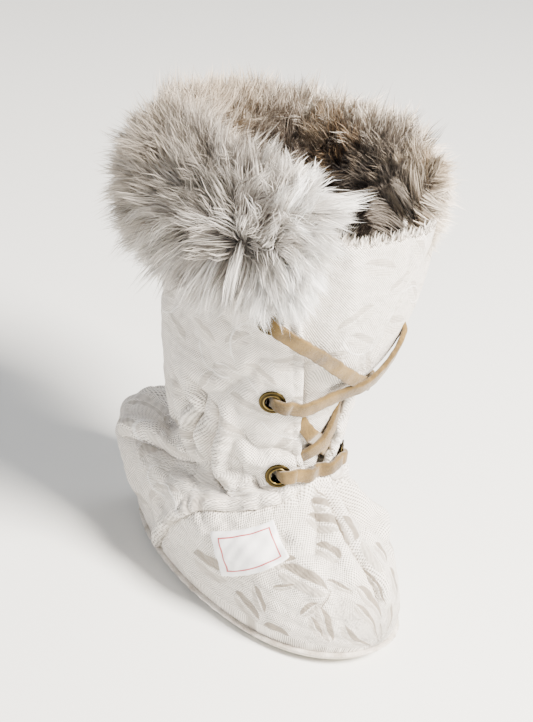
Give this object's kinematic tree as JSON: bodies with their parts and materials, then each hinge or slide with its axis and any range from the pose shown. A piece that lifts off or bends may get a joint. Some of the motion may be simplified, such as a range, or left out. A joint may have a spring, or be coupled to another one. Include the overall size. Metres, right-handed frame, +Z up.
{
  "type": "baby mukluk boot",
  "caption": "Soft-soled baby mukluk boot with a hollow woven upper, free tongue, fur cuff, brass eyelets and flat suede lacing.",
  "frame": {"origin": "middle of the sole's length on its flat walking face", "axes": "+X towards the toe, -Y towards the outer side of the foot, +Z up"},
  "size_m": [0.1155, 0.0942, 0.1446],
  "materials": {
    "cloth": "cream woven cloth with satin leaf sprigs",
    "lining": "short fleece",
    "sole": "soft suede, matte",
    "fur": "long-haired fur, ivory and grey-brown with a dark band",
    "brass": "antique",
    "lace": "flat suede, matte",
    "satin": "white satin"
  },
  "bodies": {
    "root": {"sole": "sole", "insole": "lining", "upper": "cloth", "tongue": "cloth", "fur_cuff": "fur", "eyelet_near_low": "brass", "eyelet_near_mid": "brass", "eyelet_near_top": "brass", "eyelet_far_low": "brass", "eyelet_far_mid": "brass", "eyelet_far_top": "brass", "lace_bar": "lace", "lace_cross_low": "lace", "lace_cross_top": "lace", "side_tab": "satin"}
  },
  "joints": []
}
